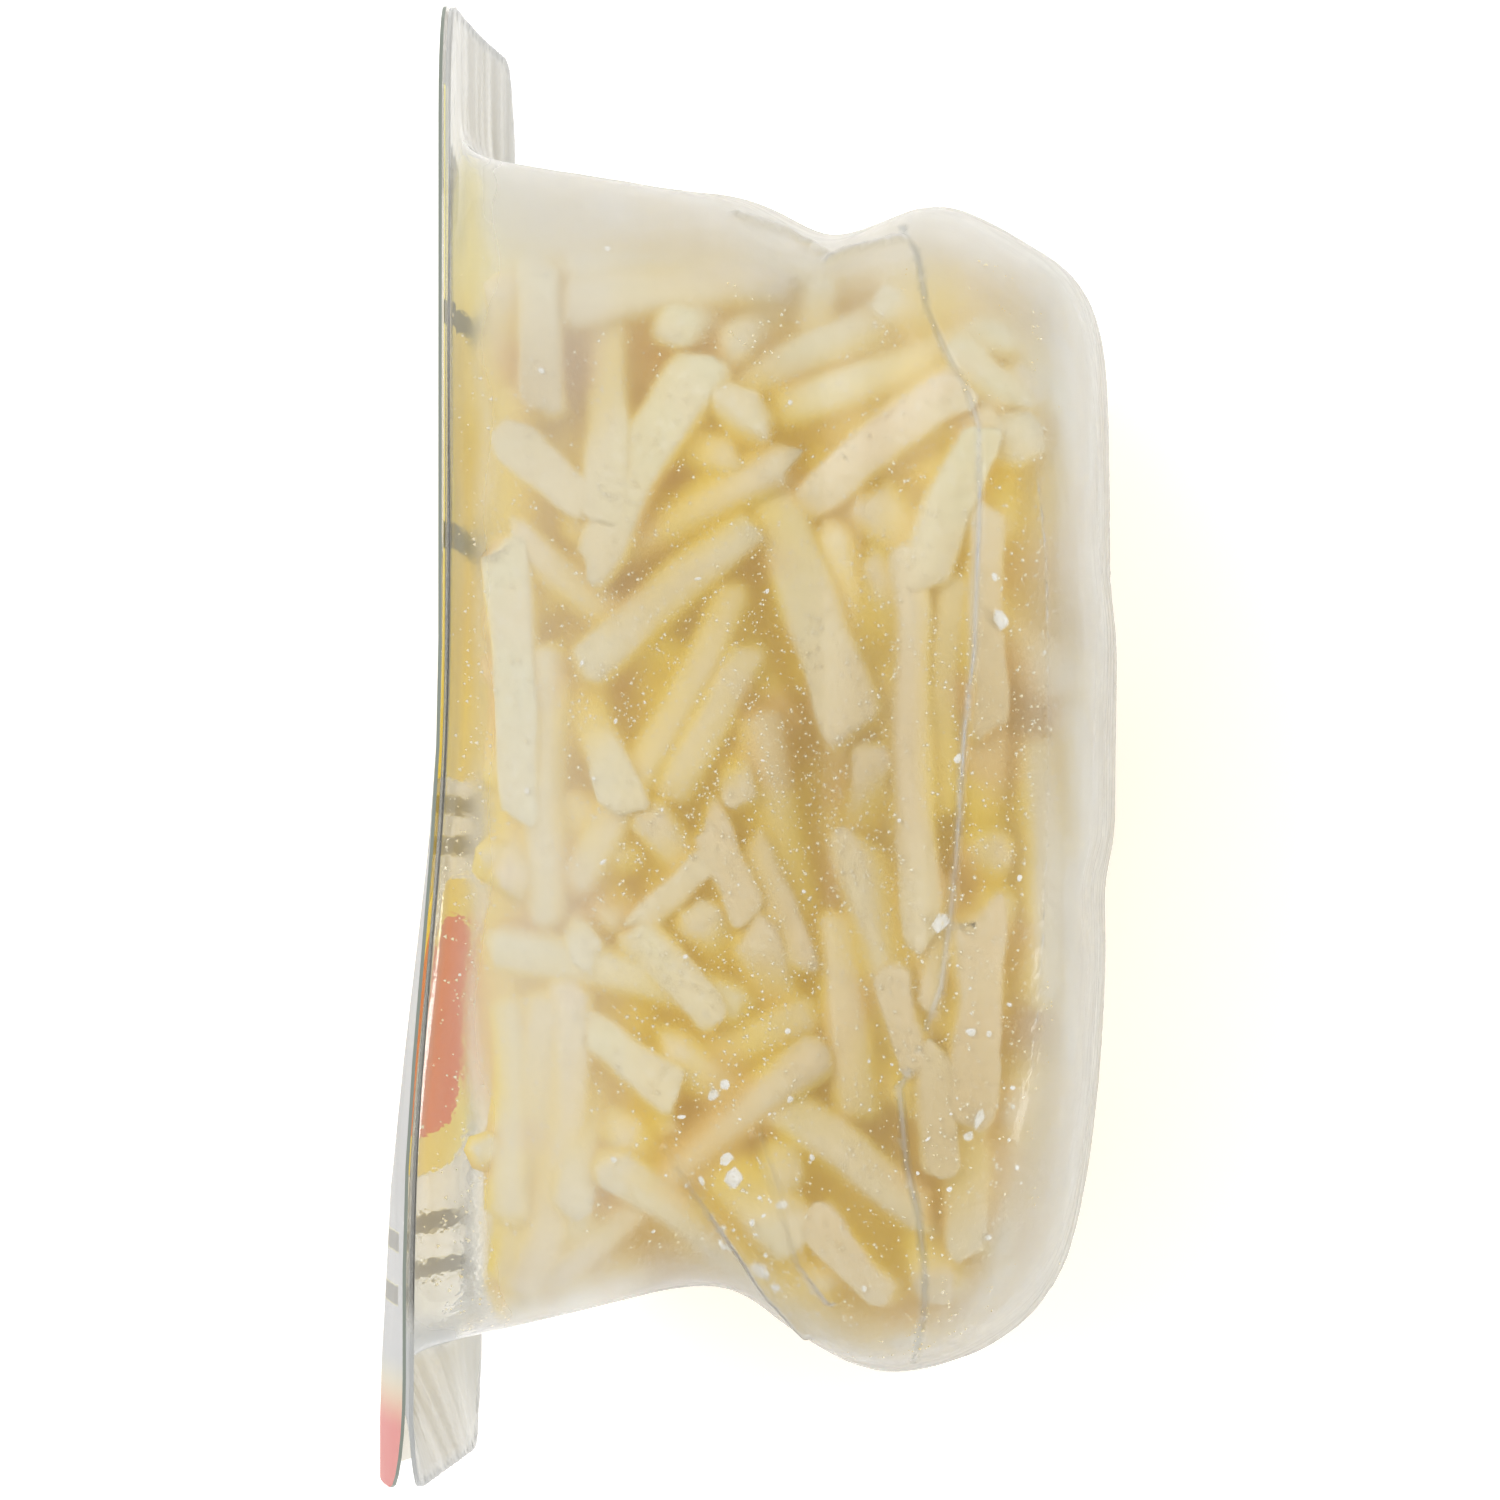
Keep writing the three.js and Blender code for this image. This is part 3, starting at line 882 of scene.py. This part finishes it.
# --------------------------------------------------------------------------------------------------
# Crumbs: chips of the white crystals and crumbs of the cheese, 0.2 to 2 mm across, which cling to
# the inside of the film. The large ones lie where the photo shows them.
# --------------------------------------------------------------------------------------------------
# The middle of each large crumb and how wide it is, in pixels of the photo.
LARGE_CRUMBS = {
    "by_the_chill_line_high": (1003, 620, 14), "above_it": (995, 577, 8), "at_the_middle": (958, 758, 8),
    "below_the_middle": (941, 923, 15), "right_of_it": (971, 1033, 9), "at_the_base_edge": (1020, 878, 6),
    "low_pair_upper": (981, 1119, 15), "low_pair_lower": (969, 1137, 10), "low_at_the_base": (1019, 1169, 7),
    "lowest_left": (951, 1191, 6), "lowest_right": (991, 1239, 8), "by_the_crease": (734, 1180, 17),
    "above_the_crease": (728, 1160, 10), "left_of_the_crease": (701, 1183, 9), "high_on_it": (712, 1096, 12),
    "highest_on_it": (725, 1085, 9), "between_creases": (752, 1224, 8), "low_on_the_crease": (757, 1275, 18),
    "left_low": (725, 1250, 12), "right_of_creases": (783, 1206, 9), "end_of_the_crease": (773, 1290, 9),
    "far_right_low": (863, 1291, 6), "mid_small": (792, 1100, 7), "left_small": (603, 861, 6),
    "top_small": (791, 402, 6), "top_left_small": (541, 371, 8), "headspace_small": (608, 246, 7),
}
# Where small crumbs gather: the middle, the spread and how many there are.
CRUMB_ZONES = {
    "over_the_waist": (745, 1200, 55, 26), "along_the_right": (985, 1080, 60, 16),
    "over_the_middle": (760, 760, 200, 22),
}


SMALL_CRUMBS = (2.5, 5.5)
CRUMB_PIXEL_MM = 0.108
CRUMB_SIZE = 1.15
CRUMB_LENGTH, CRUMB_WIDTH, CRUMB_FLAT = (0.7, 1.1), (0.5, 0.9), 0.35
CRUMB_SINKS = 0.18
CRUMB_ROUGH, ROUGH_PER_METRE = 0.3, 1300


def add_crumb(bm, place, outward, size, draw):
    """One small flat lump against the inside of the film."""
    turn = outward.to_track_quat("Z", "Y").to_matrix().to_4x4()
    spin = Matrix.Rotation(draw.uniform(0, math.tau), 4, "Z")
    long, wide = size * draw.uniform(*CRUMB_LENGTH), size * draw.uniform(*CRUMB_WIDTH)
    shape = Matrix.Diagonal((long, wide, size * CRUMB_FLAT, 1))
    made = bmesh.ops.create_icosphere(bm, subdivisions=1, radius=0.5,
                                      matrix=Matrix.Translation(place) @ turn @ spin @ shape)
    return made["verts"]


def crumb_material():
    start, finish = new_material("white_crumb")
    place = start.add("TexCoord", out=3)
    mottle = start.add("TexNoise", Vector=place, Scale=1500.0, Detail=1.0)
    colour = mottle.step(0.35, 0.65).blend((0.93, 0.91, 0.84), (0.86, 0.82, 0.70))
    return finish(start.add("BsdfPrincipled", Base_Color=colour, Roughness=0.5))


CRUMB_SEED = 31
draw = random.Random(CRUMB_SEED)
spots = list(LARGE_CRUMBS.values())
for px, py, spread, count in CRUMB_ZONES.values():
    for _ in range(count):
        spots.append((draw.gauss(px, spread), draw.gauss(py, spread), draw.uniform(*SMALL_CRUMBS)))
crumb_bm = bmesh.new()
for px, py, pixels in spots:
    place, outward = on_film(px, py)
    if place is None:
        continue
    size = pixels * CRUMB_PIXEL_MM * MM
    lies_at = place - outward * (FILM_THICKNESS + size * CRUMB_SINKS)
    lump = add_crumb(crumb_bm, lies_at, outward, size * CRUMB_SIZE, draw)
    for vert in lump:
        rough = noise.noise_vector(vert.co * ROUGH_PER_METRE) * size * CRUMB_ROUGH
        vert.co += rough - outward * max(0, rough.dot(outward))
crumbs = new_piece("crumbs", crumb_bm, crumb_material(), smooth=False)
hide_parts("filled_pouch")

# --------------------------------------------------------------------------------------------------
# Droplets: a fine dew on the inside of the film wherever no stick touches it, in drops 0.2 to 0.5 mm across.
# The drops are opaque pale gold dots, whose brightness is a painted glint.
# --------------------------------------------------------------------------------------------------
DROPLETS = 13000
DEW_SEED = 47
DROP_SMALLEST, DROP_LARGER = 0.22, 0.30
DROP_SIDES = 3
DROP_SINKS = 6
DEW_CLEAR = 0.35 * MM
DEW_WAYS = ((0, 1), (0, 1.4), (1.0, 1))


def dew_material():
    start, finish = new_material("dew_on_the_film")
    place = start.add("TexCoord", out=3)
    uneven = start.add("TexNoise", Vector=place, Scale=400.0, Detail=1.0)
    # Painted glint: the drops are drawn opaque, warm and nearly white.
    colour = uneven.step(0.35, 0.65).blend((0.98, 0.90, 0.68), (0.95, 0.82, 0.52))
    return finish(start.add("BsdfPrincipled", Base_Color=colour, Roughness=0.2))


def array_of(form_bm, count):
    """A mesh that holds the form count times over, made by an Array modifier."""
    mesh = bpy.data.meshes.new("one_of_many")
    form_bm.to_mesh(mesh)
    form_bm.free()
    one = bpy.data.objects.new("one_of_many", mesh)
    bpy.context.scene.collection.objects.link(one)
    many = one.modifiers.new("many", "ARRAY")
    many.count = count
    seen = one.evaluated_get(bpy.context.evaluated_depsgraph_get())
    joined = bmesh.new()
    joined.from_mesh(seen.to_mesh())
    shape = np.array([v.co for v in mesh.vertices])
    bpy.data.objects.remove(one)
    bpy.data.meshes.remove(mesh)
    return joined, shape


drop_bm = bmesh.new()
bmesh.ops.create_cone(drop_bm, segments=DROP_SIDES, radius1=0.5, radius2=0.25, depth=0.35,
                      cap_ends=True)
dew_bm, drop = array_of(drop_bm, DROPLETS)
draw = random.Random(DEW_SEED)
drop_points = []
while len(drop_points) < DROPLETS * len(drop):
    toward = Vector([draw.gauss(*ways) for ways in DEW_WAYS])
    place, outward, _, _ = pouch_tree.ray_cast(CORE_MIDDLE, toward.normalized())
    if place is None or place.y > HEAP_TOP or outward.x < UNDER_LID:
        continue
    inside = place - outward * FILM_THICKNESS
    if min(seen_tree.find_nearest(inside)[3], heap_tree.find_nearest(inside)[3]) < DEW_CLEAR:
        continue
    size = (DROP_SMALLEST + DROP_LARGER * draw.random() ** 3) * MM
    turn = np.array(outward.to_track_quat("Z", "Y").to_matrix())
    drop_points.extend(drop @ turn.T * size + np.array(inside - outward * size / DROP_SINKS))
for vert, point in zip(dew_bm.verts, drop_points):
    vert.co = point
dew = new_piece("dew", dew_bm, dew_material())
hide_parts("filled_pouch")

# --------------------------------------------------------------------------------------------------
# Lid film: a flat sheet of clear film, printed on its outside in fields of colour, which is welded
# to the rim. Its lower end stands free as a tab to peel. Bars stand for lines of words, and the
# places below are metres up the pack or across it.
# --------------------------------------------------------------------------------------------------
PRINT_EDGE = 0.3 * MM
PRINT_WIDTH = (4 * MM, 86 * MM)
YELLOW_FIELD = (-2.8 * MM, 58 * MM)
DARK_BAR_HIGH, DARK_BAR_LOW = (36.8 * MM, 39.2 * MM), (17.2 * MM, 19.8 * MM)
GREY_BAR_HIGH, GREY_BAR_LOW = (-6.0 * MM, -4.0 * MM), (-9.6 * MM, -7.6 * MM)
END_BAR_HIGH, END_BAR_LOW = (-44.4 * MM, -42.4 * MM), (-49.0 * MM, -47.0 * MM)
RED_END = (-60 * MM, -53 * MM)
BADGE_UP, BADGE_HALF_UP = 25.1 * MM, 13.7 * MM
BADGE_ACROSS, BADGE_HALF_ACROSS = 31 * MM, 29 * MM
YELLOW_INK, DARK_INK, GREY_INK = (0.87, 0.80, 0.30), (0.14, 0.16, 0.12), (0.30, 0.29, 0.26)
BADGE_RED, END_RED, INK_FROM_BEHIND = (0.76, 0.24, 0.16), (0.64, 0.19, 0.17), (0.78, 0.77, 0.74)
# Painted shade on the cut edge of the sheet.
CUT_EDGE_SHADE = (0.26, 0.29, 0.25)
LID_MILK, OUTER_MILK = (0.84, 0.82, 0.77), (0.56, 0.56, 0.56)


def between(wire, low, high):
    """1 where wire lies between low and high, in metres, with a crisp edge."""
    return wire.step(low, low + PRINT_EDGE) * (1 - wire.step(high - PRINT_EDGE, high))


def either(first, second):
    """1 where the first wire or the second is 1."""
    return first.math("MAXIMUM", first, second)


def lid_material():
    """Slightly milky clear film, and ink with a painted glow where a field, bar or badge is printed."""
    start, finish = new_material("printed_lid_film")
    place = start.add("TexCoord", out=3)
    parts = start.add("SeparateXYZ", Vector=place).socket.node.outputs
    up, across = Wire(start.tree, parts[1]), Wire(start.tree, parts[2])
    faces = start.add("SeparateXYZ", Vector=start.add("TexCoord", out=1))
    outer_face = 1 - faces.step(-0.2, 0.2)
    # Painted shade: the sheet's cut edge, where its faces turn sideways, is painted dark.
    cut_edge_shade = 1 - faces.math("ABSOLUTE", faces).step(0.4, 0.7)
    width = between(across, *PRINT_WIDTH)
    field = between(up, *YELLOW_FIELD) * width
    bars = either(between(up, *DARK_BAR_HIGH), between(up, *DARK_BAR_LOW)) * width
    grey_bars = either(between(up, *GREY_BAR_HIGH), between(up, *GREY_BAR_LOW)) * width
    end_bars = either(between(up, *END_BAR_HIGH), between(up, *END_BAR_LOW)) * width
    badge_up = up.math("ABSOLUTE", up + BADGE_UP) / BADGE_HALF_UP
    badge_across = up.math("ABSOLUTE", across - BADGE_ACROSS) / BADGE_HALF_ACROSS
    badge = badge_up.math("POWER", badge_up, 4.0) + badge_across.math("POWER", badge_across, 4.0)
    ring, disc = 1 - badge.step(0.94, 1.0), 1 - badge.step(0.28, 0.31)
    panel = 1 - up.step(*RED_END)
    ink = either(either(either(field, ring), either(grey_bars, end_bars)), either(panel, cut_edge_shade))
    colour = bars.blend(YELLOW_INK, DARK_INK)
    colour = either(grey_bars, end_bars).blend(colour, GREY_INK)
    colour = disc.blend(colour, BADGE_RED)
    colour = panel.blend(colour, outer_face.blend(INK_FROM_BEHIND, END_RED))
    colour = cut_edge_shade.blend(colour, CUT_EDGE_SHADE)
    # Painted glow: the ink gives off a little light of its own colour, for light through the film from
    # behind.
    printed = start.add("BsdfPrincipled", Base_Color=colour, Roughness=0.45, Specular_IOR_Level=0.2,
                        Emission_Color=colour, Emission_Strength=0.07)
    clear = start.add("BsdfPrincipled", Base_Color=(0.91, 0.92, 0.89), Roughness=0.1, IOR=1.4,
                      Specular_IOR_Level=0.3, Transmission_Weight=1.0)
    milk = start.add("BsdfDiffuse", Color=outer_face.blend(LID_MILK, OUTER_MILK))
    haze = start.add("TexNoise", Vector=place, Scale=60.0, Detail=1.0) * 0.3 + 0.2 + outer_face * 0.4
    return finish(ink.shaders(haze.shaders(clear, milk), printed))


lid = merged_copy("lid_film")
lid_piece = new_piece("printed_lid", lid, lid_material(), smooth=False)
lets_light_in(lid_piece)
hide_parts("lid_film")

# --------------------------------------------------------------------------------------------------
# Stand and light: a plain near-white table under a broad even dome, with a soft box overhead and one
# to the right, whose reflection runs down the rounded corner of the base.
# --------------------------------------------------------------------------------------------------
TABLE_SIDE = 6.0
TABLE_GLOW = 0.44
DOME_POWER = 0.68


def table_material():
    start, finish = new_material("pale_table")
    place = start.add("TexCoord", out=3)
    uneven = start.add("TexNoise", Vector=place, Scale=3.0, Detail=1.0)
    colour = uneven.step(0.2, 0.8).blend((0.93, 0.93, 0.93), (0.95, 0.95, 0.95))
    glow = start.add("Emission", Color=colour, Strength=TABLE_GLOW)
    return finish(start.add("AddShader", i0=start.add("BsdfDiffuse", Color=colour), i1=glow))


table_bm = bmesh.new()
bmesh.ops.create_grid(table_bm, x_segments=4, y_segments=4, size=TABLE_SIDE / 2)
table_mesh = bpy.data.meshes.new("table_top")
table_bm.to_mesh(table_mesh)
table_bm.free()
table_mesh.materials.append(table_material())
table = bpy.data.objects.new("table_top", table_mesh)
bpy.context.scene.collection.objects.link(table)

world = bpy.data.worlds.new("studio_dome")
world.use_nodes = True
dome = world.node_tree.nodes["Background"].inputs
dome["Color"].default_value = (1.0, 1.0, 1.0, 1.0)
dome["Strength"].default_value = DOME_POWER
bpy.context.scene.world = world


def soft_box(name, place, aim, size, power):
    """A rectangular lamp at a place in metres, turned to another, with its power in watts."""
    light = bpy.data.lights.new(name, "AREA")
    light.shape = "RECTANGLE"
    light.size, light.size_y = size
    light.energy = power
    lamp = bpy.data.objects.new(name, light)
    bpy.context.scene.collection.objects.link(lamp)
    place, aim = Vector(place), Vector(aim)
    turn = (place - aim).to_track_quat("Z", "Y").to_matrix().to_4x4()
    lamp.matrix_world = Matrix.Translation(place) @ turn


soft_box("overhead_box", (-0.7, 0.5, 1.5), (0, 0, 0.04), (1.2, 1.2), 9)
soft_box("right_box", (1.3, -0.35, 0.30), (0.03, -0.02, 0.06), (0.4, 0.25), 3.5)

bpy.context.scene.view_settings.view_transform = "Standard"
paths = bpy.context.scene.cycles
paths.max_bounces = 6
paths.diffuse_bounces = 2
paths.glossy_bounces = 1
paths.transmission_bounces = 5
paths.transparent_max_bounces = 4
paths.use_light_tree = False
paths.adaptive_threshold = 0.05
